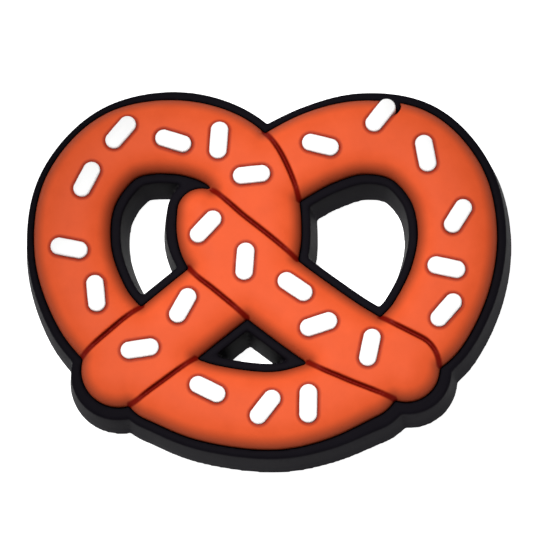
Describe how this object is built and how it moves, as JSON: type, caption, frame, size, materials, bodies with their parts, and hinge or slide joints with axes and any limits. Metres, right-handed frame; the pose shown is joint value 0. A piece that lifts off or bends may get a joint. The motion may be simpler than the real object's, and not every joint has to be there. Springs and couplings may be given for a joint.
{
  "type": "soft rubber pretzel charm",
  "caption": "Flat moulded charm shaped like a twisted pretzel: black backing plate, raised orange dough strands that cross, and white salt grains let into them.",
  "frame": {"origin": "middle of the bounding box, on the flat back that the charm lies on", "axes": "+Z out of the shown face, +Y towards the two top lobes, +X to the right as the face is seen"},
  "size_m": [0.0306, 0.0242, 0.0042],
  "materials": {
    "black_rubber": "satin moulded",
    "orange_rubber": "satin moulded",
    "white_rubber": "satin moulded"
  },
  "bodies": {
    "root": {"base": "black_rubber", "dough": "orange_rubber", "salt_01": "white_rubber", "salt_02": "white_rubber", "salt_03": "white_rubber", "salt_04": "white_rubber", "salt_05": "white_rubber", "salt_06": "white_rubber", "salt_07": "white_rubber", "salt_08": "white_rubber", "salt_09": "white_rubber", "salt_10": "white_rubber", "salt_11": "white_rubber", "salt_12": "white_rubber", "salt_13": "white_rubber", "salt_14": "white_rubber", "salt_15": "white_rubber", "salt_16": "white_rubber", "salt_17": "white_rubber", "salt_18": "white_rubber", "salt_19": "white_rubber", "salt_20": "white_rubber", "salt_21": "white_rubber", "salt_22": "white_rubber", "salt_23": "white_rubber"}
  },
  "joints": []
}
